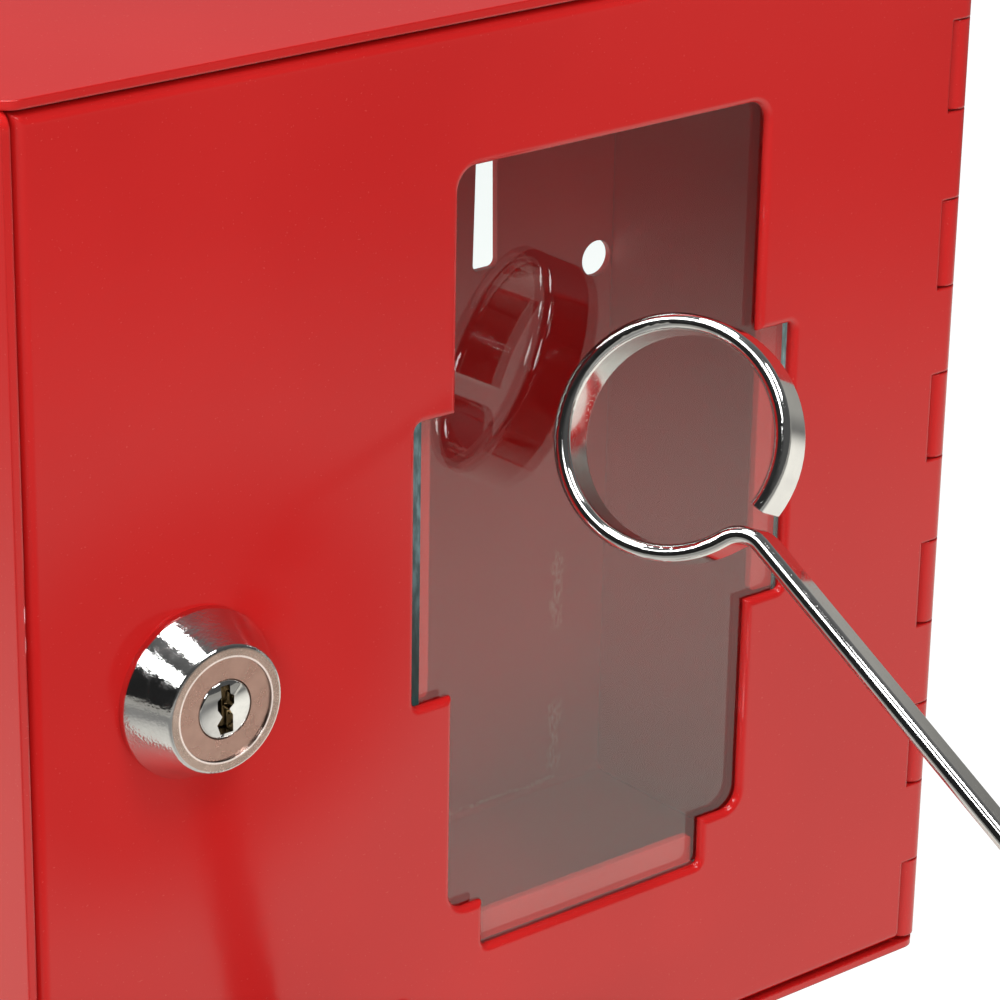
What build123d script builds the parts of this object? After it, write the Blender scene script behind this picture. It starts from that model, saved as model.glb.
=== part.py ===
from build123d import *
import math
import os

# Emergency key cabinet: a folded steel box for the wall, with a glazed door on a rolled
# piano hinge, a cam lock, and a sprung strip striker that breaks the glass.
# Frame: +X to the right, +Y towards the wall, +Z up. The origin is the middle of the wall face.

# --- cabinet and door sheet (millimetres)
CABINET_WIDTH = 161.0
CABINET_HEIGHT = 162.0
CABINET_DEPTH = 77.0
SHEET = 1.2
DOOR_GAP = 0.6
FOLD_RADIUS = 1.5
DOOR_FLANGE_DEPTH = 12.0
SHELL_CORNER = 2.8

# --- rolled hinge along the right-hand edge
KNUCKLE_COUNT = 12
KNUCKLE_RADIUS = 2.2
KNUCKLE_GAP = 0.3
PIN_RADIUS = 0.95
RUNNING_CLEARANCE = 0.05
HINGE_SLOT = 0.25

# --- window, its three notches, and the glass that the tabs from the notches hold
WINDOW_LEFT = -12.4
WINDOW_RIGHT = 41.2
WINDOW_TOP = 60.5
WINDOW_BOTTOM = -45.9
WINDOW_CORNER = 3.0
RIM_RADIUS = 0.95
NOTCH_DEPTH = 6.7
NOTCH_CORNER = 1.2
SIDE_NOTCH_BOTTOM = -13.3
SIDE_NOTCH_TOP = 27.3
LOW_NOTCH_LEFT = -6.5
LOW_NOTCH_RIGHT = 34.1
LOW_NOTCH_DEPTH = 7.3
TONGUE_REACH = 4.2
GLASS_THICKNESS = 2.0
GLASS_CLEARANCE = 0.2
GLASS_PLAY_LEFT = 1.7
GLASS_PLAY_RIGHT = 0.35
GLASS_OVERLAP = 8.0

# --- cam lock
LOCK_X = -54.6
LOCK_Z = -0.5
BEZEL_BASE_RADIUS = 11.5
BEZEL_FACE_RADIUS = 8.5
BEZEL_HEIGHT = 7.0
BARREL_RADIUS = 7.0
BARREL_LENGTH = 14.2
BARREL_FLAT = 6.0
LOCK_FACE_SINK = 0.3
PLUG_RADIUS = 4.0
PLUG_FACE_DEPTH = 1.5
CHAMBER_HALF_WIDTH = 1.5
CHAMBER_HALF_HEIGHT = 3.5
WAFER_COUNT = 6
WAFER_PITCH = 1.9
WAFER_THICKNESS = 0.7
DRIVE_HALF_WIDTH = 2.0
NUT_HALF_WIDTH = 9.5
NUT_THICKNESS = 4.0
WASHER_RADIUS = 9.6
WASHER_THICKNESS = 0.8
WASHER_TEETH = 16
CAM_THICKNESS = 2.0
CAM_REACH = 18.6
CAM_WIDTH = 12.0
CAM_WASHER_THICKNESS = 0.6
CAM_SCREW_RADIUS = 1.2
CAM_SCREW_LENGTH = 6.0
CAM_SCREW_HEAD = 3.4
KEEPER_HALF_HEIGHT = 12.0
KEEPER_REACH = 9.5
KEEPER_LEG = 14.0

# --- wall side of the cabinet
HANG_SLOT_WIDE = 5.0
HANG_SLOT_NARROW = 3.8
HANG_SLOT_LENGTH = 28.0
HANG_SLOT_CORNER = 1.2
HANG_SLOT_SPACING = 106.6
HANG_SLOT_Z = 27.6
SIDE_HOLE_RADIUS = 2.95
SIDE_HOLE_X = 76.1
SIDE_HOLE_Z = 10.9
SCREW_HOLE_RADIUS = 2.5
SCREW_HOLE_SPACING = 70.0
SCREW_HOLE_Z = -55.0
HOOK_PLATE_THICKNESS = 1.0
HOOK_Z = 44.0
HOOK_REACH = 13.0
HOOK_WIRE_RADIUS = 1.25

# --- striker: a flat strip in one plane, curled into a ring at its free end
STRIP_WIDTH = 8.0
STRIP_THICKNESS = 2.3
STRIP_EDGE_RADIUS = 0.95
RING_RADIUS = 15.25
RING_END_ANGLE = -28.0
RING_X = 9.35
RING_Z = 24.55
RING_STANDOFF = 17.1
STRIKER_TURN = 63.4
STRIKER_LEAN = 24.5
NECK_RADIUS = 4.0
ARM_SLOPE = -38.7
ARM_OFFSET = 0.0
BOW_START = 54.0
BOW_RADIUS = 27.0
PIVOT_ACROSS = -25.0
PIVOT_DOWN = -96.0
PIVOT_PIN_RADIUS = 1.95
EYE_TURN = 285.0
SPRING_WIRE_RADIUS = 0.4
SPRING_TURNS = 3.0
SPRING_PITCH = 0.92
SPRING_START_TURN = 20.0
SPRING_WIDTH = 3.8
BRACKET_SHEET = 1.5
BRACKET_FOOT_WIDTH = 44.0
BRACKET_FOOT_HEIGHT = 17.0
CHEEK_RADIUS = 5.0
CHEEK_GAP = 0.3
RIVET_SPACING = 34.0
RIVET_RADIUS = 1.6
RIVET_DOME_RADIUS = 3.2
RIVET_TAIL_RADIUS = 2.6

# --- worked out from the sizes above
HALF_WIDTH = CABINET_WIDTH / 2
HALF_HEIGHT = CABINET_HEIGHT / 2
FRONT = -CABINET_DEPTH
INNER_X = HALF_WIDTH - SHEET
INNER_Z = HALF_HEIGHT - SHEET
DOOR_LEFT = -INNER_X + DOOR_GAP
DOOR_HALF_HEIGHT = INNER_Z - DOOR_GAP
DOOR_BACK = FRONT + SHEET
FLANGE_BACK = FRONT + DOOR_FLANGE_DEPTH
HINGE_X = HALF_WIDTH - KNUCKLE_RADIUS
HINGE_Y = FRONT + KNUCKLE_RADIUS
HINGE_BORE = PIN_RADIUS + RUNNING_CLEARANCE
DOOR_RIGHT = HINGE_X - KNUCKLE_RADIUS - HINGE_SLOT
KNUCKLE_PITCH = 2 * DOOR_HALF_HEIGHT / KNUCKLE_COUNT
GLASS_FRONT = DOOR_BACK
GLASS_BACK = GLASS_FRONT + GLASS_THICKNESS
LEFT_TAB_X = WINDOW_LEFT - NOTCH_DEPTH
RIGHT_TAB_X = WINDOW_RIGHT + NOTCH_DEPTH
TONGUE_FRONT = GLASS_BACK + GLASS_CLEARANCE
TONGUE_BACK = TONGUE_FRONT + SHEET
GLASS_LEFT = LEFT_TAB_X + GLASS_PLAY_LEFT
GLASS_RIGHT = RIGHT_TAB_X - GLASS_PLAY_RIGHT
GLASS_BOTTOM = WINDOW_BOTTOM - LOW_NOTCH_DEPTH
GLASS_TOP = WINDOW_TOP + GLASS_OVERLAP
KEEPER_FRONT = FLANGE_BACK + DOOR_GAP
CAM_FRONT = FRONT + BARREL_LENGTH + 0.2
CAM_BACK = CAM_FRONT + CAM_THICKNESS
PLUG_FACE = FRONT - BEZEL_HEIGHT + LOCK_FACE_SINK - 0.1
EYE_RADIUS = PIVOT_PIN_RADIUS + RUNNING_CLEARANCE + STRIP_THICKNESS / 2
NEAR_CHEEK = CHEEK_GAP
FAR_CHEEK = -STRIP_WIDTH - CHEEK_GAP - SPRING_WIDTH


def block(x0, x1, y0, y1, z0, z1):
    """A box between two corners."""
    middle = Pos((x0 + x1) / 2, (y0 + y1) / 2, (z0 + z1) / 2)
    return middle * Box(x1 - x0, y1 - y0, z1 - z0)


def round_bar(radius, y0, y1, x, z):
    """A cylinder that runs front to back."""
    return Pos(x, (y0 + y1) / 2, z) * Rot(90, 0, 0) * Cylinder(radius, y1 - y0)


def upright(radius, z0, z1, x, y):
    """A cylinder that runs up and down."""
    return Pos(x, y, (z0 + z1) / 2) * Cylinder(radius, z1 - z0)


def edges_at(shape, direction, **limits):
    """The straight edges along one axis whose middles lie inside the given limits."""
    chosen = shape.edges().filter_by(direction)
    for name, (low, high) in limits.items():
        chosen = chosen.filter_by(lambda e, n=name, a=low, b=high: a <= getattr(e.center(), n) <= b)
    return chosen


# ---------------------------------------------------------------- cabinet

def cabinet_shell():
    """Top, back and bottom folded from one sheet, with the wall holes in the back."""
    outer = block(-HALF_WIDTH, HALF_WIDTH, FRONT, 0, -HALF_HEIGHT, HALF_HEIGHT)
    outer = fillet(edges_at(outer, Axis.X, Y=(-1, 1)), FOLD_RADIUS + SHEET / 2)
    outer = fillet(edges_at(outer, Axis.Z, Y=(FRONT - 1, FRONT + 1)), SHELL_CORNER)
    hollow = block(-HALF_WIDTH - 1, HALF_WIDTH + 1, FRONT - 1, -SHEET, -INNER_Z, INNER_Z)
    hollow = fillet(edges_at(hollow, Axis.X, Y=(-SHEET - 1, 0)), FOLD_RADIUS - SHEET / 2)
    shell = outer - hollow
    for side in (-1, 1):
        place = Pos(side * HANG_SLOT_SPACING / 2, 0, HANG_SLOT_Z) * Rot(90, 0, 0)
        shell -= place * extrude(hang_slot_outline(), 5, both=True)
        shell -= round_bar(SIDE_HOLE_RADIUS, -5, 5, side * SIDE_HOLE_X, SIDE_HOLE_Z)
        shell -= round_bar(SCREW_HOLE_RADIUS, -5, 5, side * SCREW_HOLE_SPACING / 2, SCREW_HOLE_Z)
    return shell


def hang_slot_outline():
    """Upright slot that narrows towards its top."""
    low = -HANG_SLOT_LENGTH / 2
    high = HANG_SLOT_LENGTH / 2
    wide = HANG_SLOT_WIDE / 2
    narrow = HANG_SLOT_NARROW / 2
    outline = make_face(Polyline((-wide, low), (wide, low), (narrow, high), (-narrow, high), close=True))
    return fillet(outline.vertices(), HANG_SLOT_CORNER)


def side_plate(x0, x1):
    """A flat side with rounded corners, let in between the top and the bottom."""
    plate = block(x0, x1, FRONT, -SHEET, -INNER_Z, INNER_Z)
    return fillet(plate.edges().filter_by(Axis.X), 2.4)


def knuckle_span(index):
    """Lowest and highest point of one hinge knuckle, counted from the bottom."""
    low = -DOOR_HALF_HEIGHT + index * KNUCKLE_PITCH
    return low + KNUCKLE_GAP / 2, low + KNUCKLE_PITCH - KNUCKLE_GAP / 2


def knuckle(index):
    """One rolled knuckle with its bore for the hinge pin."""
    low, high = knuckle_span(index)
    roll = upright(KNUCKLE_RADIUS, low, high, HINGE_X, HINGE_Y)
    return roll - upright(HINGE_BORE, low - 1, high + 1, HINGE_X, HINGE_Y)


def left_side_plate():
    return side_plate(-HALF_WIDTH, -INNER_X)


def right_side_plate():
    """The hinge side: its front edge is rolled into every second knuckle."""
    clear_back = HINGE_Y + KNUCKLE_RADIUS + HINGE_SLOT
    plate = side_plate(INNER_X, HALF_WIDTH)
    plate -= block(INNER_X - 1, HALF_WIDTH + 1, FRONT - 1, HINGE_Y, -HALF_HEIGHT, HALF_HEIGHT)
    for index in range(KNUCKLE_COUNT):
        low, high = knuckle_span(index)
        if index % 2 == 0:
            plate += knuckle(index)
        else:
            plate -= block(INNER_X - 1, HALF_WIDTH + 1, FRONT - 1, clear_back,
                           low - KNUCKLE_GAP, high + KNUCKLE_GAP)
    return plate - block(INNER_X - 1, HALF_WIDTH + 1, FRONT - 1, clear_back, DOOR_HALF_HEIGHT, HALF_HEIGHT)


def hinge_pin():
    low = -DOOR_HALF_HEIGHT
    return upright(PIN_RADIUS, low, -low, HINGE_X, HINGE_Y)


def lock_keeper():
    """Angle on the left side plate; the cam turns behind its lip and the door rests on it."""
    low = LOCK_Z - KEEPER_HALF_HEIGHT
    high = LOCK_Z + KEEPER_HALF_HEIGHT
    tip = -INNER_X + KEEPER_REACH
    lip = block(-INNER_X, tip, KEEPER_FRONT, KEEPER_FRONT + SHEET, low, high)
    leg = block(-INNER_X, -INNER_X + SHEET, KEEPER_FRONT, KEEPER_FRONT + KEEPER_LEG, low, high)
    angle = lip + leg
    return fillet(edges_at(angle, Axis.Y, X=(tip - 0.5, tip + 0.5)), 2.0)


def key_hook_plate():
    """Small plate welded to the back, which carries the hook."""
    plate = block(-6, 6, -SHEET - HOOK_PLATE_THICKNESS, -SHEET, HOOK_Z - 8, HOOK_Z + 10)
    return fillet(plate.edges().filter_by(Axis.Y), 2.0)


def key_hook():
    """Wire hook for the emergency key."""
    root = -SHEET - HOOK_PLATE_THICKNESS
    with BuildLine() as line:
        Polyline((0, root, HOOK_Z), (0, root - HOOK_REACH, HOOK_Z), (0, root - HOOK_REACH - 3.5, HOOK_Z + 8))
        fillet(line.vertices().sort_by(Axis.Y)[1], 4.0)
    path = line.wire()
    section = Plane(origin=path @ 0, z_dir=path % 0) * Circle(HOOK_WIRE_RADIUS)
    tip = path @ 1
    return sweep(section, path) + Pos(tip.X, tip.Y, tip.Z) * Sphere(HOOK_WIRE_RADIUS)


# ---------------------------------------------------------------- door

def window_cutter():
    """The window with its side notches and its low notch, through the door sheet."""
    y0 = FRONT - 1
    y1 = DOOR_BACK + 1
    main = block(WINDOW_LEFT, WINDOW_RIGHT, y0, y1, WINDOW_BOTTOM, WINDOW_TOP)
    main = fillet(main.edges().filter_by(Axis.Y), WINDOW_CORNER)
    sides = block(LEFT_TAB_X, RIGHT_TAB_X, y0, y1, SIDE_NOTCH_BOTTOM, SIDE_NOTCH_TOP)
    sides = fillet(sides.edges().filter_by(Axis.Y), NOTCH_CORNER)
    low = block(LOW_NOTCH_LEFT, LOW_NOTCH_RIGHT, y0, y1, GLASS_BOTTOM, WINDOW_BOTTOM + 6)
    low = fillet(low.edges().filter_by(Axis.Y), NOTCH_CORNER)
    return main + sides + low


def glass_tab(length):
    """Tab cut from a notch, bent back and then in behind the glass; x is inward, z along the notch."""
    front = TONGUE_FRONT - FRONT
    back = TONGUE_BACK - FRONT
    run = block(-SHEET, 0, RIM_RADIUS, back, -length / 2, length / 2)
    tongue = block(-SHEET, TONGUE_REACH, front, back, -length / 2, length / 2)
    tongue = fillet(edges_at(tongue, Axis.Y, X=(TONGUE_REACH - 0.1, TONGUE_REACH + 0.1)), 0.9)
    tab = run + tongue
    return fillet(edges_at(tab, Axis.Z, X=(-SHEET - 0.1, 0.1 - SHEET), Y=(back - 0.1, back + 0.1)), SHEET)


def glass_tabs():
    """The three tabs, which hold the pane at its sides and carry it at the bottom."""
    side_length = SIDE_NOTCH_TOP - SIDE_NOTCH_BOTTOM
    side_z = (SIDE_NOTCH_TOP + SIDE_NOTCH_BOTTOM) / 2
    low_length = LOW_NOTCH_RIGHT - LOW_NOTCH_LEFT
    low_x = (LOW_NOTCH_RIGHT + LOW_NOTCH_LEFT) / 2
    return [
        Pos(LEFT_TAB_X, FRONT, side_z) * glass_tab(side_length),
        mirror(Pos(-RIGHT_TAB_X, FRONT, side_z) * glass_tab(side_length), Plane.YZ),
        Pos(low_x, FRONT, GLASS_BOTTOM) * Rot(0, -90, 0) * glass_tab(low_length),
    ]


def door_panel():
    """The door sheet: folded edges, window, tabs, lock hole and its half of the hinge."""
    tray = block(DOOR_LEFT, DOOR_RIGHT, FRONT, FLANGE_BACK, -DOOR_HALF_HEIGHT, DOOR_HALF_HEIGHT)
    front_edges = tray.faces().sort_by(Axis.Y)[0].edges()
    tray = fillet(front_edges - edges_at(tray, Axis.Z, X=(DOOR_RIGHT - 1, DOOR_RIGHT + 1)), FOLD_RADIUS)
    inside = block(DOOR_LEFT + SHEET, DOOR_RIGHT + 1, DOOR_BACK, FLANGE_BACK + 1,
                   -DOOR_HALF_HEIGHT + SHEET, DOOR_HALF_HEIGHT - SHEET)
    tray -= inside
    hinge_relief = block(DOOR_RIGHT - 3, DOOR_RIGHT + 1, DOOR_BACK, FLANGE_BACK + 1,
                         -HALF_HEIGHT, HALF_HEIGHT)
    tray -= hinge_relief
    window = window_cutter()
    tray -= window
    rim = tray.faces().sort_by(Axis.Y)[0].inner_wires()[0].edges()
    tray = fillet(rim, RIM_RADIUS)
    for tab in glass_tabs():
        tray += tab
    tray -= lock_hole()
    for index in range(1, KNUCKLE_COUNT, 2):
        low, high = knuckle_span(index)
        leaf = block(DOOR_RIGHT - 1, HINGE_X, FRONT, DOOR_BACK, low, high)
        bore = upright(HINGE_BORE, low - 1, high + 1, HINGE_X, HINGE_Y)
        tray += (leaf - bore) + knuckle(index)
    for place in rivet_places():
        tray -= round_bar(RIVET_RADIUS, FRONT - 1, DOOR_BACK + 1, place[0], place[1])
    return tray


def lock_hole():
    """Round hole with two flats, which stops the barrel from turning."""
    hole = round_bar(BARREL_RADIUS + 0.1, FRONT - 1, DOOR_BACK + 1, LOCK_X, LOCK_Z)
    flat = BARREL_FLAT + 0.1
    flats = block(LOCK_X - flat, LOCK_X + flat, FRONT - 2, DOOR_BACK + 2, LOCK_Z - 9, LOCK_Z + 9)
    return hole & flats


def glass_pane():
    pane = block(GLASS_LEFT, GLASS_RIGHT, GLASS_FRONT, GLASS_BACK, GLASS_BOTTOM, GLASS_TOP)
    return chamfer(pane.edges().filter_by(Axis.Y), 1.0)


# ---------------------------------------------------------------- lock

def turned(points):
    """A part turned on the lock's axis; each point is (radius, distance behind the door face)."""
    profile = Polyline([(radius, depth) for radius, depth in points], close=True)
    solid = revolve(make_face(profile), Axis.Y)
    return Pos(LOCK_X, FRONT, LOCK_Z) * solid


def lock_bezel():
    """Conical collar around the keyhole."""
    bore = BARREL_RADIUS + 0.02
    collar = turned([(bore, 0), (BEZEL_BASE_RADIUS, 0), (BEZEL_BASE_RADIUS, -0.9),
                     (BEZEL_FACE_RADIUS, -BEZEL_HEIGHT), (bore, -BEZEL_HEIGHT)])
    outer = collar.edges().filter_by(GeomType.CIRCLE).filter_by(lambda e: e.radius > bore + 0.5)
    proud = outer.filter_by(lambda e: e.center().Y < FRONT - 0.5)
    return fillet(proud, 0.6)


def lock_barrel():
    """Fixed housing of the lock, with two flats along its threaded part."""
    bore = PLUG_RADIUS + RUNNING_CLEARANCE
    face = -BEZEL_HEIGHT + LOCK_FACE_SINK
    body = turned([(bore, face), (BARREL_RADIUS, face), (BARREL_RADIUS, BARREL_LENGTH),
                   (bore, BARREL_LENGTH)])
    for side in (-1, 1):
        low, high = sorted((side * BARREL_FLAT, side * 9.0))
        body -= block(LOCK_X + low, LOCK_X + high, FRONT, CAM_FRONT, LOCK_Z - 9, LOCK_Z + 9)
    return body


def lock_washer():
    """Toothed washer under the nut."""
    bore = BARREL_RADIUS + 0.1
    back = SHEET + WASHER_THICKNESS
    ring = turned([(bore, SHEET), (WASHER_RADIUS, SHEET), (WASHER_RADIUS, back), (bore, back)])
    seat = Pos(LOCK_X, DOOR_BACK + WASHER_THICKNESS / 2, LOCK_Z) * Rot(90, 0, 0)
    for place in PolarLocations(WASHER_RADIUS + 0.4, WASHER_TEETH):
        ring += seat * place * Box(1.6, 1.6, WASHER_THICKNESS)
    return ring


def lock_nut():
    """Thin hexagon nut that clamps the barrel to the door."""
    front = SHEET + WASHER_THICKNESS
    back = front + NUT_THICKNESS
    corner = NUT_HALF_WIDTH / math.cos(math.radians(30)) + 0.2
    seat = Plane(origin=(LOCK_X, FRONT + back, LOCK_Z), x_dir=(1, 0, 0), z_dir=(0, -1, 0))
    nut = extrude(seat * RegularPolygon(NUT_HALF_WIDTH, 6, major_radius=False), NUT_THICKNESS)
    nut &= turned([(0, front), (corner - 1, front), (corner, front + 1.2), (corner, back - 1.2),
                   (corner - 1, back), (0, back)])
    return nut - round_bar(BARREL_RADIUS, DOOR_BACK, FRONT + back + 1, LOCK_X, LOCK_Z)


def keyway_outline():
    """Warded keyway in the face of the plug, as (x, z) about the lock's axis."""
    return [(-0.7, 3.3), (0.7, 3.3), (0.8, 2.0), (1.35, 1.6), (1.35, 0.5), (0.6, -0.1), (1.15, -1.0),
            (1.15, -3.3), (-0.8, -3.3), (-1.3, -1.9), (-0.5, -0.9), (-1.2, 0.2), (-1.2, 1.4), (-0.6, 1.8)]


def lock_plug():
    """Turning core: a warded face, a wafer chamber behind it and a square drive at the back."""
    drive = DRIVE_HALF_WIDTH
    half_width = CHAMBER_HALF_WIDTH
    half_height = CHAMBER_HALF_HEIGHT
    face = PLUG_FACE
    core = round_bar(PLUG_RADIUS, face, FRONT + BARREL_LENGTH, LOCK_X, LOCK_Z)
    core = fillet(core.faces().sort_by(Axis.Y)[0].edges(), 0.3)
    core += block(LOCK_X - drive, LOCK_X + drive, FRONT + BARREL_LENGTH, CAM_BACK,
                  LOCK_Z - drive, LOCK_Z + drive)
    seat = Plane(origin=(LOCK_X, face - 1, LOCK_Z), x_dir=(1, 0, 0), z_dir=(0, -1, 0))
    keyway = make_face(Polyline(keyway_outline(), close=True))
    core -= extrude(seat * keyway, -(PLUG_FACE_DEPTH + 2))
    chamber_back = face + PLUG_FACE_DEPTH + WAFER_COUNT * WAFER_PITCH
    core -= block(LOCK_X - half_width, LOCK_X + half_width, face + PLUG_FACE_DEPTH, chamber_back,
                  LOCK_Z - half_height, LOCK_Z + half_height)
    return core - round_bar(CAM_SCREW_RADIUS + RUNNING_CLEARANCE, FRONT + BARREL_LENGTH - 4, CAM_BACK + 1,
                            LOCK_X, LOCK_Z)


def lock_wafers():
    """Wafer tumblers standing in the chamber of the plug."""
    wafers = []
    start = PLUG_FACE + PLUG_FACE_DEPTH + 0.3
    half_width = CHAMBER_HALF_WIDTH - 0.05
    half_height = CHAMBER_HALF_HEIGHT - 0.4
    for index in range(WAFER_COUNT):
        front = start + index * WAFER_PITCH
        back = front + WAFER_THICKNESS
        middle = LOCK_Z + 0.3 * math.sin(2.1 * index)
        plate = block(LOCK_X - half_width, LOCK_X + half_width, front, back,
                      middle - half_height, middle + half_height)
        plate -= block(LOCK_X - 0.7, LOCK_X + 0.7, front - 1, back + 1, middle - 2.0, middle + 1.8)
        wafers.append(plate)
    return wafers


def lock_cam():
    """Flat arm on the plug's square; it points up when the door is free to open."""
    seat = Plane(origin=(LOCK_X, CAM_BACK, LOCK_Z), x_dir=(1, 0, 0), z_dir=(0, -1, 0))
    outline = Circle(CAM_WIDTH / 2) + Pos(0, CAM_REACH / 2) * Rectangle(CAM_WIDTH, CAM_REACH)
    outline = fillet(outline.vertices().group_by(Axis.Y)[-1], 2.5)
    cam = extrude(seat * outline, CAM_THICKNESS)
    drive = DRIVE_HALF_WIDTH
    return cam - block(LOCK_X - drive, LOCK_X + drive, CAM_FRONT - 1, CAM_BACK + 1,
                       LOCK_Z - drive, LOCK_Z + drive)


def cam_washer():
    front = CAM_BACK - FRONT
    back = front + CAM_WASHER_THICKNESS
    bore = CAM_SCREW_RADIUS + 0.1
    return turned([(bore, front), (4.2, front), (4.2, back), (bore, back)])


def cam_screw():
    """Pan-head screw into the end of the plug, with a cross recess."""
    seat = CAM_BACK - FRONT + CAM_WASHER_THICKNESS
    tip = seat - CAM_SCREW_LENGTH
    screw = turned([(0, tip), (CAM_SCREW_RADIUS, tip), (CAM_SCREW_RADIUS, seat), (CAM_SCREW_HEAD, seat),
                    (CAM_SCREW_HEAD, seat + 1.2), (CAM_SCREW_HEAD - 0.8, seat + 2.0), (0, seat + 2.0)])
    recess = FRONT + seat + 0.9
    for half_x, half_z in ((2.0, 0.4), (0.4, 2.0)):
        screw -= block(LOCK_X - half_x, LOCK_X + half_x, recess, recess + 3, LOCK_Z - half_z, LOCK_Z + half_z)
    return screw


# ---------------------------------------------------------------- striker

def striker_plane():
    """Plane of the strip's near edge: x runs outward from the glass, y up, z to the near side."""
    turn = math.radians(STRIKER_TURN)
    lean = math.radians(STRIKER_LEAN)
    near = Vector(-math.sin(turn) * math.cos(lean), -math.cos(turn) * math.cos(lean), math.sin(lean))
    outward = Vector(math.cos(turn), -math.sin(turn), 0)
    return Plane(origin=(RING_X, FRONT - RING_STANDOFF, RING_Z), x_dir=outward, z_dir=near)


def polar(radius, degrees):
    angle = math.radians(degrees)
    return (radius * math.cos(angle), radius * math.sin(angle))


def plus(a, b):
    return (a[0] + b[0], a[1] + b[1])


def striker_path():
    """Centre line of the strip: ring, reverse bend, arm, bow and the eye on the pivot pin."""
    along = polar(1, ARM_SLOPE)
    normal = polar(1, ARM_SLOPE + 90)
    neck_offset = ARM_OFFSET - NECK_RADIUS
    neck_along = math.sqrt((RING_RADIUS + NECK_RADIUS) ** 2 - neck_offset ** 2)
    neck = (normal[0] * neck_offset + along[0] * neck_along, normal[1] * neck_offset + along[1] * neck_along)
    leave = math.degrees(math.atan2(neck[1], neck[0]))
    arm_start = plus(neck, polar(NECK_RADIUS, ARM_SLOPE + 90))
    arm_length = (BOW_START - arm_start[0]) / along[0]
    arm_end = plus(arm_start, (along[0] * arm_length, along[1] * arm_length))
    bow = plus(arm_end, polar(BOW_RADIUS, ARM_SLOPE - 90))
    pivot = (PIVOT_ACROSS, PIVOT_DOWN)
    reach = math.dist(bow, pivot)
    sight = math.degrees(math.atan2(pivot[1] - bow[1], pivot[0] - bow[0]))
    tilt = math.degrees(math.asin((BOW_RADIUS - EYE_RADIUS) / reach))
    heading = sight - tilt
    ring_sweep = 360 + leave - RING_END_ANGLE
    neck_start = leave + 180
    bow_sweep = (ARM_SLOPE - heading) % 360
    with BuildLine() as line:
        CenterArc((0, 0), RING_RADIUS, RING_END_ANGLE, ring_sweep)
        CenterArc(neck, NECK_RADIUS, neck_start, ARM_SLOPE + 90 - neck_start)
        Line(arm_start, arm_end)
        CenterArc(bow, BOW_RADIUS, ARM_SLOPE + 90, -bow_sweep)
        Line(plus(bow, polar(BOW_RADIUS, heading + 90)), plus(pivot, polar(EYE_RADIUS, heading + 90)))
        CenterArc(pivot, EYE_RADIUS, heading + 90, -EYE_TURN)
    return line.wire()


def striker():
    """The whole striker, swept from the strip's rounded section."""
    plane = striker_plane()
    middle = plane.offset(-STRIP_WIDTH / 2)
    path = middle * striker_path()
    section = Plane(origin=path @ 0, x_dir=plane.z_dir, z_dir=path % 0)
    profile = section * RectangleRounded(STRIP_WIDTH, STRIP_THICKNESS, STRIP_EDGE_RADIUS)
    return sweep(profile, path)


def on_pivot(across, down, near):
    """A point given in the striker's plane, measured from the pivot pin."""
    return striker_plane().from_local_coords((PIVOT_ACROSS + across, PIVOT_DOWN + down, near))


def along_pivot(radius, near0, near1):
    """A cylinder on the striker's pivot axis."""
    seat = striker_plane().offset(near0) * Pos(PIVOT_ACROSS, PIVOT_DOWN)
    return extrude(seat * Circle(radius), near1 - near0)


def bracket_centre():
    """Middle of the bracket's foot, straight behind the pivot pin's middle."""
    middle = on_pivot(0, 0, (NEAR_CHEEK + FAR_CHEEK) / 2)
    return middle.X - 6.0, middle.Z - 0.5


def rivet_places():
    x, z = bracket_centre()
    return [(x - RIVET_SPACING / 2, z), (x + RIVET_SPACING / 2, z)]


def striker_bracket():
    """Cast lug on the door: a foot for two rivets and two cheeks square to the pivot pin."""
    x, z = bracket_centre()
    half_width = BRACKET_FOOT_WIDTH / 2
    half_height = BRACKET_FOOT_HEIGHT / 2
    lug = block(x - half_width, x + half_width, FRONT - BRACKET_SHEET, FRONT,
                z - half_height, z + half_height)
    lug = fillet(lug.edges().filter_by(Axis.Y), 4.0)
    ahead = block(-200, 200, FRONT - 60, FRONT - 0.2, -200, 200)
    for near0, near1 in ((NEAR_CHEEK, NEAR_CHEEK + BRACKET_SHEET), (FAR_CHEEK - BRACKET_SHEET, FAR_CHEEK)):
        corners = [(0, CHEEK_RADIUS), (0, -CHEEK_RADIUS),
                   (-30, -CHEEK_RADIUS - 3.0), (-30, CHEEK_RADIUS + 1.0)]
        outline = Circle(CHEEK_RADIUS) + make_face(Polyline(corners, close=True))
        seat = striker_plane().offset(near0) * Pos(PIVOT_ACROSS, PIVOT_DOWN)
        lug += extrude(seat * outline, near1 - near0) & ahead
    lug -= along_pivot(PIVOT_PIN_RADIUS + 0.02, FAR_CHEEK - 4, NEAR_CHEEK + 4)
    for place in rivet_places():
        lug -= round_bar(RIVET_RADIUS, FRONT - 5, FRONT + 1, place[0], place[1])
    return lug


def bracket_rivets():
    """Two dome-headed rivets, closed on the inside of the door."""
    rivets = []
    face = FRONT - BRACKET_SHEET
    for x, z in rivet_places():
        shank = round_bar(RIVET_RADIUS, face, DOOR_BACK, x, z)
        dome = Pos(x, face + 1.3, z) * Sphere(RIVET_DOME_RADIUS)
        dome &= block(x - 4, x + 4, face - 4, face, z - 4, z + 4)
        tail = round_bar(RIVET_TAIL_RADIUS, DOOR_BACK, DOOR_BACK + 1.0, x, z)
        rivets.append(shank + dome + tail)
    return rivets


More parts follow.
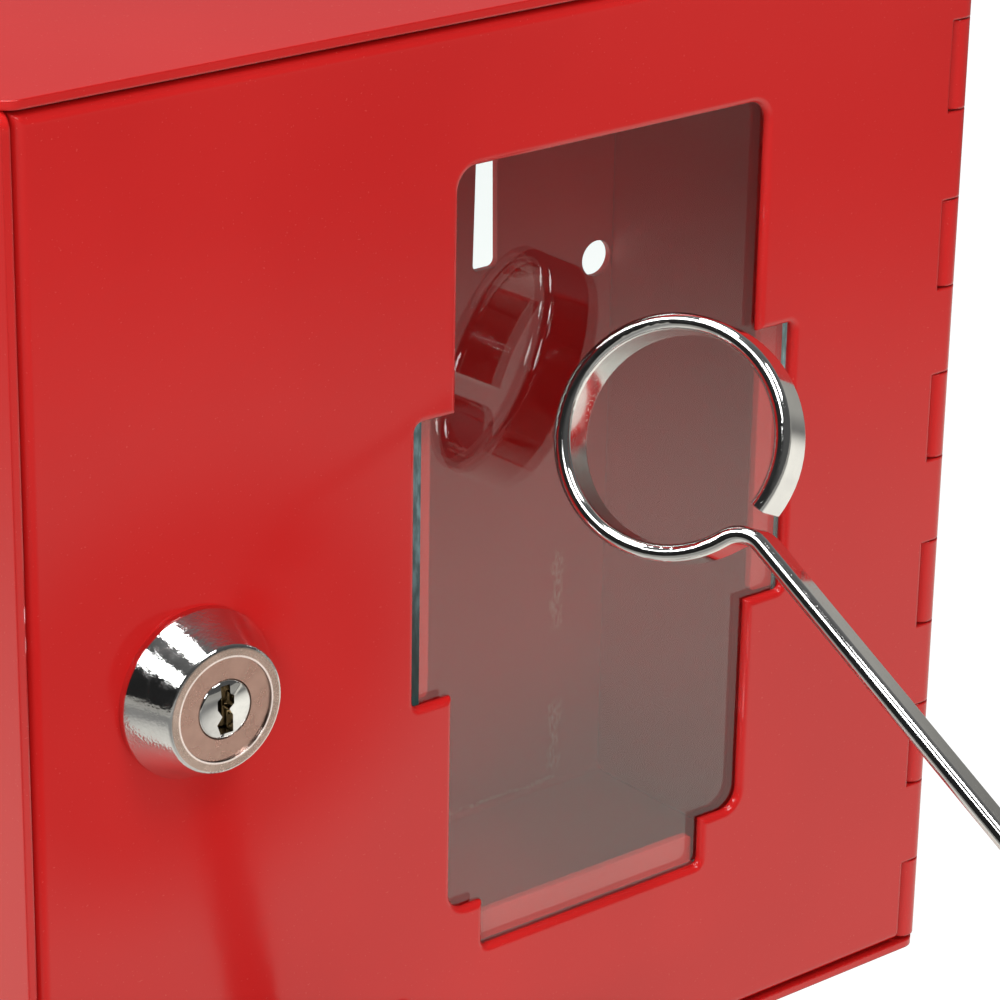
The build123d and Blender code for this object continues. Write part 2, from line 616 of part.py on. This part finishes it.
def striker_pin():
    """Headed pivot pin, peened over at its far end."""
    near = NEAR_CHEEK + BRACKET_SHEET
    far = FAR_CHEEK - BRACKET_SHEET
    pin = along_pivot(PIVOT_PIN_RADIUS, far - 1.0, near + 1.2)
    head = along_pivot(3.1, near, near + 1.2)
    peen = along_pivot(2.5, far - 1.0, far)
    return pin + head + peen


def wire_run(points):
    """Straight wire from point to point, with round corners."""
    run = Pos(*points[0]) * Sphere(SPRING_WIRE_RADIUS)
    for start, end in zip(points, points[1:]):
        seat = Plane(origin=start, z_dir=end - start)
        run += extrude(seat * Circle(SPRING_WIRE_RADIUS), (end - start).length)
        run += Pos(*end) * Sphere(SPRING_WIRE_RADIUS)
    return run


def striker_spring():
    """Torsion spring beside the eye: one leg on the foot, the other under the strip."""
    coil_radius = PIVOT_PIN_RADIUS + 0.35 + SPRING_WIRE_RADIUS
    far = FAR_CHEEK + 0.7
    near = far + SPRING_PITCH * SPRING_TURNS
    under = -EYE_RADIUS - STRIP_THICKNESS / 2 - SPRING_WIRE_RADIUS - 0.1
    seat = striker_plane().offset(far) * Pos(PIVOT_ACROSS, PIVOT_DOWN) * Rot(0, 0, SPRING_START_TURN)
    helix = seat * Helix(SPRING_PITCH, SPRING_PITCH * SPRING_TURNS, coil_radius)
    section = Plane(origin=helix @ 0, z_dir=helix % 0) * Circle(SPRING_WIRE_RADIUS)
    coil = sweep(section, helix, is_frenet=True)
    foot_leg = wire_run([helix @ 0.002, on_pivot(coil_radius - 1.5, 4.0, far),
                         on_pivot(coil_radius - 8.1, 6.0, far)])
    strip_leg = wire_run([helix @ 0.998, on_pivot(coil_radius + 1.5, -3.0, near), on_pivot(11, under, near),
                          on_pivot(11, under, -STRIP_WIDTH + 4)])
    return coil + foot_leg + strip_leg


# ---------------------------------------------------------------- write the parts

def write(name, shape):
    """Write one node; a list becomes one group of separate solids."""
    if isinstance(shape, list):
        shape = Compound(children=shape)
    export_step(shape, os.path.join("parts", name + ".step"))


NODES = {
    "cabinet_shell": cabinet_shell,
    "left_side_plate": left_side_plate,
    "right_side_plate": right_side_plate,
    "lock_keeper": lock_keeper,
    "key_hook_plate": key_hook_plate,
    "key_hook": key_hook,
    "hinge_pin": hinge_pin,
    "door_panel": door_panel,
    "glass_pane": glass_pane,
    "lock_bezel": lock_bezel,
    "lock_barrel": lock_barrel,
    "lock_washer": lock_washer,
    "lock_nut": lock_nut,
    "lock_plug": lock_plug,
    "lock_wafers": lock_wafers,
    "lock_cam": lock_cam,
    "cam_washer": cam_washer,
    "cam_screw": cam_screw,
    "striker_bracket": striker_bracket,
    "bracket_rivets": bracket_rivets,
    "striker_pin": striker_pin,
    "striker_spring": striker_spring,
    "striker": striker,
}

os.makedirs("parts", exist_ok=True)
for node_name, make in NODES.items():
    write(node_name, make())
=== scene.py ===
import math

import bmesh
import bpy
from mathutils import Matrix, Vector


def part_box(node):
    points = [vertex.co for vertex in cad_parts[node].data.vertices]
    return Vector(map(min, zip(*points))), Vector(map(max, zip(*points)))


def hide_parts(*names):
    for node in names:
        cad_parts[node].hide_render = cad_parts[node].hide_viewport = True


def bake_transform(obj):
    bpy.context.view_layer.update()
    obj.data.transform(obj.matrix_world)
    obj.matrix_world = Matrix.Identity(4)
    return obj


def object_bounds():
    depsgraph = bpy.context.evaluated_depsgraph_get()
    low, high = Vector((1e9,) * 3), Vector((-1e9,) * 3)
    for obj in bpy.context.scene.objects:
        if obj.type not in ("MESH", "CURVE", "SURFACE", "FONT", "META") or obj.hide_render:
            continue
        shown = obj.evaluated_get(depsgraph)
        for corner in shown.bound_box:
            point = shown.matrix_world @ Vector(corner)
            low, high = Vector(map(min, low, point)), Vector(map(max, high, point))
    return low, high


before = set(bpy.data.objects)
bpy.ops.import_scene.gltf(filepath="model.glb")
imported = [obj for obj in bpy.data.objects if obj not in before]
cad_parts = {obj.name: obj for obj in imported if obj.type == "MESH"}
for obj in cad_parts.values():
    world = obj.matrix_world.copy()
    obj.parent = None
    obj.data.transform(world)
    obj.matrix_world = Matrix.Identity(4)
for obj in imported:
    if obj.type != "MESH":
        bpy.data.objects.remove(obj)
cad_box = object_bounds()

MM = 0.001

# Camera: a long lens, from the left and above, aimed near the middle of the door.
# Angles are in degrees, the lens and its sensor in millimetres, and every other length in metres.
VIEW_AZIMUTH = 39.69
VIEW_ELEVATION = 22.05
VIEW_ROLL = 1.035
VIEW_DISTANCE = 0.5282
LENS = 141.25
SENSOR = 36.0
AIM_SHIFT = Vector((-1.1, -0.3, 10.5)) * MM

# The floor, and the soft pools of light on it: centre, then inner and outer radius, then level.
FLOOR_DROP = 90 * MM
FLOOR_HALF = 4.0
FLOOR_DARK = (0.10, 0.10, 0.10)
FLOOR_LIGHT = (0.12, 0.12, 0.12)
POOL_FRONT = ((0.27, -0.21), 0.10, 0.50, 0.78)
POOL_LEFT = ((-0.16, 0.12), 0.08, 0.48, 0.62)
POOL_RIGHT = ((0.50, -0.04), 0.08, 0.34, 0.75)
NEAR_FLOOR = ((0.0, 0.0), 0.75, 1.2, 0.20)
FLOOR_GLOW = 0.30
GLOW_TINT = (1.0, 0.97, 0.88)
WHITE = (1.0, 1.0, 1.0)


def node(name):
    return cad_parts[name]


# ------------------------------------------------------------------ shader helpers

class Nodes:
    """A small helper to write node trees as plain calls."""

    def __init__(self, tree):
        self.tree = tree

    def add(self, kind, **values):
        made = self.tree.nodes.new(kind)
        for key, value in values.items():
            if key in made.bl_rna.properties:
                setattr(made, key, value)
            else:
                made.inputs[key.replace("_", " ")].default_value = value
        return made

    def link(self, source, target):
        self.tree.links.new(source, target)

    def math(self, operation, a, b=None):
        made = self.tree.nodes.new("ShaderNodeMath")
        made.operation = operation
        for socket, value in zip(made.inputs, (a, b)):
            if value is None:
                continue
            if hasattr(value, "links"):
                self.link(value, socket)
            else:
                socket.default_value = value
        return made.outputs[0]

    def times(self, a, b):
        return self.math("MULTIPLY", a, b)

    def ramp(self, factor, low, high, out_low=0.0, out_high=1.0):
        made = self.tree.nodes.new("ShaderNodeMapRange")
        made.interpolation_type = "SMOOTHSTEP"
        made.inputs["From Min"].default_value = low
        made.inputs["From Max"].default_value = high
        made.inputs["To Min"].default_value = out_low
        made.inputs["To Max"].default_value = out_high
        self.link(factor, made.inputs["Value"])
        return made.outputs[0]

    def noise(self, scale, detail=2.0, stretch=None):
        made = self.tree.nodes.new("ShaderNodeTexNoise")
        made.inputs["Scale"].default_value = scale
        made.inputs["Detail"].default_value = detail
        source = self.position()
        if stretch:
            scaled = self.add("ShaderNodeMapping")
            scaled.inputs["Scale"].default_value = stretch
            self.link(source, scaled.inputs["Vector"])
            source = scaled.outputs[0]
        self.link(source, made.inputs["Vector"])
        return made.outputs[0]

    def position(self):
        return self.add("ShaderNodeTexCoord").outputs["Object"]

    def axes(self):
        return self.split(self.position())

    def mix(self, factor, a, b):
        made = self.tree.nodes.new("ShaderNodeMix")
        made.data_type = "RGBA"
        for socket, value in ((made.inputs[0], factor), (made.inputs[6], a), (made.inputs[7], b)):
            if hasattr(value, "links"):
                self.link(value, socket)
            elif isinstance(value, (int, float)):
                socket.default_value = value
            else:
                socket.default_value = (*value, 1.0)
        return made.outputs[2]

    def split(self, vector):
        made = self.add("ShaderNodeSeparateXYZ")
        self.link(vector, made.inputs[0])
        return made.outputs

    def bump(self, height, strength, distance, normal=None):
        made = self.tree.nodes.new("ShaderNodeBump")
        made.inputs["Strength"].default_value = strength
        made.inputs["Distance"].default_value = distance
        self.link(height, made.inputs["Height"])
        if normal is not None:
            self.link(normal, made.inputs["Normal"])
        return made.outputs[0]


def material(name):
    """An empty node material and its principled shader."""
    made = bpy.data.materials.new(name)
    made.use_nodes = True
    tree = Nodes(made.node_tree)
    shader = made.node_tree.nodes["Principled BSDF"]
    return made, tree, shader


def rounded(tree, radius, samples=4):
    """A normal that softens sharp edges to this radius."""
    bevel = tree.add("ShaderNodeBevel")
    bevel.samples = samples
    bevel.inputs["Radius"].default_value = radius
    return bevel.outputs[0]


# ------------------------------------------------------------------ materials

RED_DEEP = (0.55, 0.0120, 0.0115)
RED_LIGHT = (0.59, 0.0145, 0.0135)
RED_SPECK = (0.72, 0.16, 0.13)
COAT_EDGE = 0.45 * MM
METAL_EDGE = 0.15 * MM
STRIP_EDGE = 0.2 * MM

# The door's coat is duller where hands touch it, in an oval round the lock.
HANDLED_NEAR = 18 * MM
HANDLED_FAR = 38 * MM
HANDLED_OVAL = 0.75
DULL = 0.16
GLOSSY = 0.5

# Rubbed paint: an upright smear on the back in two runs, and one along the bottom sheet.
SMEAR_X = 69.6 * MM
SMEAR_HIGH = (-51.0 * MM, -38.0 * MM)
SMEAR_LOW = (-77.0 * MM, -65.0 * MM)
SMEAR_ABOVE_BOTTOM = 2.4 * MM
SMEAR_WANDER = 4.0 * MM
SMEAR_STRENGTH = 0.62
SMEAR_TONE = (0.72, 0.36, 0.27)

CHROME_DARK = (0.80, 0.80, 0.79)
CHROME_LIGHT = (0.88, 0.88, 0.86)
BEZEL_DARK = (0.74, 0.74, 0.73)
BEZEL_LIGHT = (0.90, 0.90, 0.89)
RIM_DARK = (0.52, 0.40, 0.34)
RIM_LIGHT = (0.66, 0.50, 0.43)
PLUG_DARK = (0.76, 0.76, 0.75)
PLUG_LIGHT = (0.88, 0.88, 0.87)
SATIN_DARK = (0.54, 0.34, 0.28)
SATIN_LIGHT = (0.64, 0.41, 0.34)
ZINC_DARK = (0.50, 0.51, 0.53)
ZINC_LIGHT = (0.66, 0.67, 0.68)
SPRING_DARK = (0.16, 0.16, 0.17)
SPRING_LIGHT = (0.30, 0.30, 0.31)
BRASS_DARK = (0.20, 0.13, 0.06)
BRASS_LIGHT = (0.42, 0.29, 0.14)

# The lock: fine turned rings (radians per metre), a crowned plug, and a painted highlight: a glow on the
# inner and outer lip of the collar's front ring.
RING_WAVE = 42000.0
CROWN = 42.0
INNER_LIP = (7.20 * MM, 7.32 * MM)
OUTER_LIP = (8.30 * MM, 8.42 * MM)
LIP_PAINTED_GLINT = 0.45
LIP_GLINT_TINT = (1.0, 0.93, 0.88, 1.0)

# The glass: what passes through it, and its ground edges, which carry painted light: paler above than
# below, and glowing with their own colour.
GLASS_IOR = 1.60
GLASS_TINT = (0.985, 0.995, 0.99, 1)
GLASS_PASSES = (0.90, 0.93, 0.92, 1)
GLASS_DEPTH_TINT = (0.55, 0.86, 0.78, 1)
GLASS_DENSITY = 45.0
EDGE_DARK = (0.020, 0.045, 0.042)
EDGE_PALE = (0.15, 0.28, 0.29)
EDGE_LIT_FROM = -8 * MM
EDGE_LIT_TO = 14 * MM
EDGE_PAINTED_GLOW = 0.7


def powder_coat(name, dusty=False, handled=False):
    """Glossy red powder coat with orange peel, fine specks and softly rounded edges."""
    made, tree, shader = material(name)
    broad = tree.noise(14, 3)
    tone = tree.mix(tree.ramp(broad, 0.35, 0.65), RED_DEEP, RED_LIGHT)
    specks = tree.noise(2600, 1)
    tone = tree.mix(tree.times(tree.ramp(specks, 0.72, 0.78), 0.25), tone, RED_SPECK)
    if dusty:
        tone = weld_smears(tree, tone)
    tree.link(tone, shader.inputs["Base Color"])
    inside = inside_box(tree)
    peel = tree.times(tree.noise(420, 2), tree.math("SUBTRACT", 1.0, inside))
    tree.link(tree.bump(peel, 0.022, 0.6 * MM, rounded(tree, COAT_EDGE, 6)), shader.inputs["Normal"])
    polish = tree.ramp(broad, 0.3, 0.7, 0.09, 0.15)
    tree.link(tree.math("ADD", polish, tree.times(inside, 0.32)), shader.inputs["Roughness"])
    shader.inputs["IOR"].default_value = 1.5
    if handled:
        shine = tree.ramp(lock_radius(tree, HANDLED_OVAL), HANDLED_NEAR, HANDLED_FAR, DULL, GLOSSY)
        tree.link(shine, shader.inputs["Specular IOR Level"])
    return made


def inside_box(tree):
    """One on the inner faces of the cabinet, which are dull with dust."""
    low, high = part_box("cabinet_shell")
    x, y, z = tree.axes()
    sheet = 1.0 * MM
    across = tree.math("LESS_THAN", tree.math("ABSOLUTE", x), high.x - sheet)
    tall = tree.math("LESS_THAN", tree.math("ABSOLUTE", z), high.z - sheet)
    deep = tree.math("LESS_THAN", y, high.y - sheet)
    behind = tree.math("GREATER_THAN", y, low.y + 1.3 * MM)
    return tree.times(tree.times(across, tall), tree.times(deep, behind))


def weld_smears(tree, tone):
    """Rubbed paint in blotches: an upright smear on the back, short of the corner, and one low down."""
    x, y, z = tree.axes()
    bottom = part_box("cabinet_shell")[0].z
    wander = tree.times(tree.math("SUBTRACT", tree.noise(420, 3), 0.5), SMEAR_WANDER)
    off = tree.math("ABSOLUTE", tree.math("ADD", tree.math("SUBTRACT", x, SMEAR_X), wander))
    runs = tree.math("ADD", band(tree, z, *SMEAR_HIGH), band(tree, z, *SMEAR_LOW))
    upright = tree.times(tree.ramp(off, 0.2 * MM, 1.8 * MM, 1, 0), runs)
    height = tree.math("SUBTRACT", z, bottom + SMEAR_ABOVE_BOTTOM)
    above = tree.math("ABSOLUTE", tree.math("ADD", height, tree.times(wander, 0.3)))
    left_of_smear = tree.ramp(x, SMEAR_X, SMEAR_X + MM, 1, 0)
    along = tree.times(tree.ramp(above, 0.1 * MM, 0.6 * MM, 1, 0), left_of_smear)
    rubbed = tree.ramp(tree.noise(2200, 6, stretch=(1, 1, 0.45)), 0.30, 0.72)
    on_back = tree.times(tree.ramp(y, -6 * MM, -2 * MM), tree.ramp(y, -1.0 * MM, -0.6 * MM, 1, 0))
    where = tree.times(tree.math("MAXIMUM", upright, tree.times(along, 0.6)), on_back)
    return tree.mix(tree.times(where, tree.times(rubbed, SMEAR_STRENGTH)), tone, SMEAR_TONE)


def band(tree, value, low, high):
    """One between two values, with soft ends."""
    edge = 1.5 * MM
    rising = tree.ramp(value, low - edge, low + edge)
    falling = tree.ramp(value, high - edge, high + edge, 1, 0)
    return tree.times(rising, falling)


def metal(name):
    """An empty material for bare or plated metal."""
    made, tree, shader = material(name)
    shader.inputs["Metallic"].default_value = 1.0
    return made, tree, shader


def chrome(name):
    """Bright plating over drawn steel: smooth bands with a few fine pits that sparkle."""
    made, tree, shader = metal(name)
    cloud = tree.ramp(tree.noise(160, 3), 0.35, 0.7)
    tree.link(tree.mix(cloud, CHROME_DARK, CHROME_LIGHT), shader.inputs["Base Color"])
    tree.link(tree.ramp(tree.noise(420, 3), 0.4, 0.75, 0.05, 0.09), shader.inputs["Roughness"])
    pits = tree.ramp(tree.noise(3200, 1), 0.66, 0.76)
    patches = tree.ramp(tree.noise(90, 2), 0.45, 0.62)
    waves = tree.times(tree.noise(60, 1), 0.12)
    height = tree.math("SUBTRACT", waves, tree.times(pits, tree.times(patches, 0.7)))
    tree.link(tree.bump(height, 0.05, 0.4 * MM, rounded(tree, STRIP_EDGE)), shader.inputs["Normal"])
    return made


def lock_radius(tree, narrow=1.0):
    """Distance from the lock's axis, the sideways part scaled by narrow."""
    low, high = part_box("lock_barrel")
    middle = (low + high) / 2
    x, y, z = tree.axes()
    across = tree.times(tree.math("SUBTRACT", x, middle.x), narrow)
    up = tree.math("SUBTRACT", z, middle.z)
    return tree.math("SQRT", tree.math("ADD", tree.times(across, across), tree.times(up, up)))


def own_normal(tree):
    """Which way a face looks in the piece's own frame, so its look stays put when the piece moves."""
    turned = tree.add("ShaderNodeVectorTransform", vector_type="NORMAL", convert_from="WORLD",
                      convert_to="OBJECT")
    tree.link(tree.add("ShaderNodeNewGeometry").outputs["True Normal"], turned.inputs[0])
    return tree.split(turned.outputs[0])


def facing_front(tree):
    """One on faces that look straight out of the door."""
    return tree.ramp(own_normal(tree)[1], -0.99, -0.95, 1.0, 0.0)


def satin_nickel(name):
    """Turned lock face: warm satin plating with fine rings around the lock's axis."""
    made, tree, shader = metal(name)
    rings = tree.math("SINE", tree.times(lock_radius(tree), RING_WAVE))
    stain = tree.noise(300, 3)
    tree.link(tree.mix(tree.ramp(stain, 0.35, 0.7), SATIN_DARK, SATIN_LIGHT), shader.inputs["Base Color"])
    tree.link(tree.ramp(stain, 0.3, 0.7, 0.24, 0.34), shader.inputs["Roughness"])
    height = tree.math("ADD", tree.times(rings, 0.2), tree.noise(1500, 2))
    tree.link(tree.bump(height, 0.04, 0.3 * MM, rounded(tree, METAL_EDGE)), shader.inputs["Normal"])
    return made


def bezel_chrome(name):
    """Grainy bright plating on the cone; the narrow front ring is turned satin, with a painted highlight
    glowing at its inner and outer lip.
    """
    made, tree, shader = metal(name)
    flat = facing_front(tree)
    cloud = tree.ramp(tree.noise(190, 4), 0.35, 0.7)
    bright = tree.mix(cloud, BEZEL_DARK, BEZEL_LIGHT)
    satin = tree.mix(cloud, RIM_DARK, RIM_LIGHT)
    tree.link(tree.mix(flat, bright, satin), shader.inputs["Base Color"])
    polished = tree.ramp(tree.noise(700, 3), 0.4, 0.75, 0.05, 0.16)
    tree.link(tree.math("ADD", polished, tree.times(flat, 0.16)), shader.inputs["Roughness"])
    radius = lock_radius(tree)
    # Painted highlight: thin bands at the front ring's inner and outer lip glow softly.
    lip_glints = tree.math("MAXIMUM", tree.ramp(radius, *INNER_LIP, 1.0, 0.0), tree.ramp(radius, *OUTER_LIP))
    shader.inputs["Emission Color"].default_value = LIP_GLINT_TINT
    tree.link(tree.times(tree.times(lip_glints, flat), LIP_PAINTED_GLINT), shader.inputs["Emission Strength"])
    height = tree.math("ADD", tree.noise(240, 2), tree.times(tree.noise(2600, 2), 0.5))
    tree.link(tree.bump(height, 0.10, 0.4 * MM, rounded(tree, METAL_EDGE)), shader.inputs["Normal"])
    return made


def plug_chrome(name):
    """Polished plug with a slightly crowned face."""
    made, tree, shader = metal(name)
    cloud = tree.ramp(tree.noise(400, 3), 0.35, 0.7)
    tree.link(tree.mix(cloud, PLUG_DARK, PLUG_LIGHT), shader.inputs["Base Color"])
    shader.inputs["Roughness"].default_value = 0.06
    radius = lock_radius(tree)
    crown = tree.times(tree.times(radius, radius), -CROWN)
    tree.link(tree.bump(crown, 1.0, 1.0), shader.inputs["Normal"])
    return made


def small_metal(name, dark, light, roughness):
    """Plated or plain small parts: cloudy metal with fine scratches."""
    made, tree, shader = metal(name)
    cloud = tree.ramp(tree.noise(220, 4), 0.35, 0.68)
    tree.link(tree.mix(cloud, dark, light), shader.inputs["Base Color"])
    worn = tree.ramp(tree.noise(900, 3), 0.35, 0.7, roughness, roughness * 1.6)
    tree.link(worn, shader.inputs["Roughness"])
    scratches = tree.noise(900, 2, stretch=(1, 1, 0.12))
    tree.link(tree.bump(scratches, 0.08, 0.3 * MM, rounded(tree, METAL_EDGE)), shader.inputs["Normal"])
    return made


def window_glass(name):
    """Clear float glass with ground edges, which carry painted light, paler above and glowing; light
    passes through to the inside.
    """
    made, tree, shader = material(name)
    output = tree.tree.nodes["Material Output"]
    clear = tree.add("ShaderNodeBsdfGlass", IOR=GLASS_IOR, Roughness=0.0)
    clear.inputs["Color"].default_value = GLASS_TINT
    tree.link(tree.bump(tree.noise(18, 1), 0.02, 0.001), clear.inputs["Normal"])
    through = tree.add("ShaderNodeBsdfTransparent")
    through.inputs["Color"].default_value = GLASS_PASSES
    chips = tree.ramp(tree.noise(900, 4, stretch=(1, 1, 0.35)), 0.36, 0.66, 0.30, 1.0)
    # Painted light: the ground edges grow paler towards the top.
    height = tree.ramp(tree.axes()[2], EDGE_LIT_FROM, EDGE_LIT_TO, 0.08, 0.9)
    ground = tree.mix(tree.times(chips, height), EDGE_DARK, EDGE_PALE)
    tree.link(ground, shader.inputs["Base Color"])
    # Painted glow: the edge colour is also emitted, as though light were caught in the pane.
    tree.link(ground, shader.inputs["Emission Color"])
    shader.inputs["Emission Strength"].default_value = EDGE_PAINTED_GLOW
    shader.inputs["Roughness"].default_value = 0.25
    edge = tree.math("LESS_THAN", tree.math("ABSOLUTE", own_normal(tree)[1]), 0.5)
    surface = blend_shaders(tree, edge, clear.outputs[0], shader.outputs[0])
    shadow = tree.add("ShaderNodeLightPath").outputs["Is Shadow Ray"]
    tree.link(blend_shaders(tree, shadow, surface, through.outputs[0]), output.inputs["Surface"])
    tint = tree.add("ShaderNodeVolumeAbsorption", Density=GLASS_DENSITY)
    tint.inputs["Color"].default_value = GLASS_DEPTH_TINT
    tree.link(tint.outputs[0], output.inputs["Volume"])
    return made


def blend_shaders(tree, factor, a, b):
    """Shader a where the factor is nought, b where it is one."""
    made = tree.add("ShaderNodeMixShader")
    for socket, value in zip(made.inputs, (factor, a, b)):
        tree.link(value, socket)
    return made.outputs[0]


def twisting_spring():
    """The striker's torsion spring, whose coil winds up between the door and the arm; here it is only
    copied to a fixed mesh of its own, in place of the hidden part.
    """
    spring = bpy.data.objects.new("striker_spring_coil", node("striker_spring").data.copy())
    bpy.context.scene.collection.objects.link(spring)
    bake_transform(spring)
    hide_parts("striker_spring")


def assign(material_made, *names):
    for name in names:
        mesh = node(name).data
        mesh.materials.clear()
        mesh.materials.append(material_made)


def dress_nodes():
    coat = powder_coat("red_powder_coat")
    assign(coat, "left_side_plate", "right_side_plate", "lock_keeper", "key_hook_plate")
    assign(powder_coat("red_powder_coat_door", handled=True), "door_panel")
    assign(powder_coat("red_powder_coat_shell", dusty=True), "cabinet_shell")
    assign(chrome("chrome_striker"), "striker", "striker_pin")
    assign(bezel_chrome("chrome_bezel"), "lock_bezel")
    assign(plug_chrome("chrome_plug"), "lock_plug")
    assign(satin_nickel("satin_nickel"), "lock_barrel")
    assign(small_metal("zinc_plate", ZINC_DARK, ZINC_LIGHT, 0.28), "key_hook", "hinge_pin", "lock_washer",
           "lock_nut", "lock_cam", "cam_washer", "cam_screw", "striker_bracket", "bracket_rivets")
    assign(small_metal("spring_wire", SPRING_DARK, SPRING_LIGHT, 0.20), "striker_spring")
    assign(small_metal("wafer_brass", BRASS_DARK, BRASS_LIGHT, 0.30), "lock_wafers")
    assign(window_glass("window_glass"), "glass_pane")


# ------------------------------------------------------------------ stage

def pool(tree, centre, near, far, level):
    """A soft round pool of light on the floor, strongest at its centre."""
    spot = tree.add("ShaderNodeVectorMath")
    spot.operation = "DISTANCE"
    tree.link(tree.position(), spot.inputs[0])
    spot.inputs[1].default_value = (*centre, 0.0)
    return tree.ramp(spot.outputs["Value"], near, far, level, 0.0)


def build_floor():
    """Pale floor, well below the wall-hung box, lit in three soft pools that the door mirrors."""
    mesh = bpy.data.meshes.new("floor")
    shape = bmesh.new()
    bmesh.ops.create_grid(shape, x_segments=1, y_segments=1, size=FLOOR_HALF)
    shape.to_mesh(mesh)
    shape.free()
    floor = bpy.data.objects.new("floor", mesh)
    floor.location = (0, 0, cad_box[0][2] - FLOOR_DROP)
    bpy.context.scene.collection.objects.link(floor)
    made, tree, shader = material("floor_paper")
    grain = tree.ramp(tree.noise(60, 2), 0.3, 0.7)
    tree.link(tree.mix(grain, FLOOR_DARK, FLOOR_LIGHT), shader.inputs["Base Color"])
    shader.inputs["Roughness"].default_value = 0.9
    pools = tree.math("MAXIMUM", pool(tree, *POOL_FRONT), pool(tree, *POOL_LEFT))
    pools = tree.math("MAXIMUM", pools, pool(tree, *POOL_RIGHT))
    glow = tree.math("ADD", pools, tree.math("SUBTRACT", FLOOR_GLOW, pool(tree, *NEAR_FLOOR)))
    seen = backdrop(tree)
    tree.link(tree.mix(seen, GLOW_TINT, WHITE), shader.inputs["Emission Color"])
    tree.link(tree.math("MAXIMUM", glow, seen), shader.inputs["Emission Strength"])
    mesh.materials.append(made)


def area_light(name, place, aim, size_x, size_y, power, mirrored=True):
    """A rectangular soft light; metal and gloss mirror it only if mirrored is true."""
    light = bpy.data.lights.new(name, "AREA")
    light.shape = "RECTANGLE"
    light.size = size_x
    light.size_y = size_y
    light.energy = power
    thing = bpy.data.objects.new(name, light)
    place = Vector(place)
    thing.location = place
    thing.rotation_euler = (Vector(aim) - place).to_track_quat("-Z", "Y").to_euler()
    thing.visible_glossy = mirrored
    bpy.context.scene.collection.objects.link(thing)


def backdrop(tree):
    """One where the camera looks straight at the backdrop, or looks at it through clear glass."""
    path = tree.add("ShaderNodeLightPath").outputs
    bounced = tree.math("ADD", path["Diffuse Depth"], path["Glossy Depth"])
    straight = tree.math("LESS_THAN", bounced, 0.5)
    seen = tree.math("MAXIMUM", path["Is Camera Ray"], path["Is Transmission Ray"])
    return tree.times(straight, seen)


def build_lights():
    """Soft boxes in front, above and at the left, and a fill beside the camera that metal doesn't mirror.

    Polished metal sees a dim studio, darkest at the left. Light that has left a dull surface sees a
    brighter one, which stands for the many bounces in a pale room.
    """
    area_light("front_softbox", (0.06, -0.68, 0.88), (0, -0.05, 0), 0.36, 0.36, 3.6)
    area_light("top_softbox", (-0.20, -0.06, 1.0), (0, 0, 0), 0.30, 0.30, 4.9)
    area_light("front_fill", (-0.64, -1.00, 0.25), (0, 0, 0), 0.60, 0.50, 4.4, mirrored=False)
    area_light("left_softbox", (-0.84, -0.13, 0.72), (0, 0, 0), 0.80, 0.28, 5.7)
    world = bpy.data.worlds.new("studio")
    bpy.context.scene.world = world
    world.use_nodes = True
    tree = Nodes(world.node_tree)
    background = world.node_tree.nodes["Background"]
    x, y, z = tree.split(tree.add("ShaderNodeTexCoord").outputs["Generated"])
    mirrored = tree.times(tree.ramp(y, -0.7, 0.8, 0.08, 0.22), tree.ramp(x, -0.95, -0.35, 0.12, 1.0))
    lit = tree.math("GREATER_THAN", tree.add("ShaderNodeLightPath").outputs["Diffuse Depth"], 0.5)
    soft = tree.times(lit, tree.ramp(z, 0.0, 1.0, 0.62, 0.12))
    strength = tree.math("MAXIMUM", tree.math("MAXIMUM", mirrored, soft), backdrop(tree))
    tree.link(strength, background.inputs["Strength"])
    background.inputs["Color"].default_value = (*WHITE, 1.0)


def build_camera():
    """The camera stands back from the door along its viewing direction, rolled very slightly."""
    low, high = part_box("door_panel")
    aim = (low + high) / 2 + AIM_SHIFT
    turn = math.radians(VIEW_AZIMUTH)
    tilt = math.radians(VIEW_ELEVATION)
    look = Vector((math.cos(tilt) * math.sin(turn), math.cos(tilt) * math.cos(turn), -math.sin(tilt)))
    data = bpy.data.cameras.new("camera")
    data.lens = LENS
    data.sensor_width = SENSOR
    data.clip_start = 0.01
    camera = bpy.data.objects.new("camera", data)
    level = look.to_track_quat("-Z", "Y").to_matrix()
    rolled = level @ Matrix.Rotation(math.radians(VIEW_ROLL), 3, "Z")
    camera.matrix_world = Matrix.Translation(aim - look * VIEW_DISTANCE) @ rolled.to_4x4()
    bpy.context.scene.collection.objects.link(camera)
    bpy.context.scene.camera = camera


dress_nodes()
twisting_spring()
build_floor()
build_lights()
build_camera()
bpy.context.scene.view_settings.view_transform = "Standard"
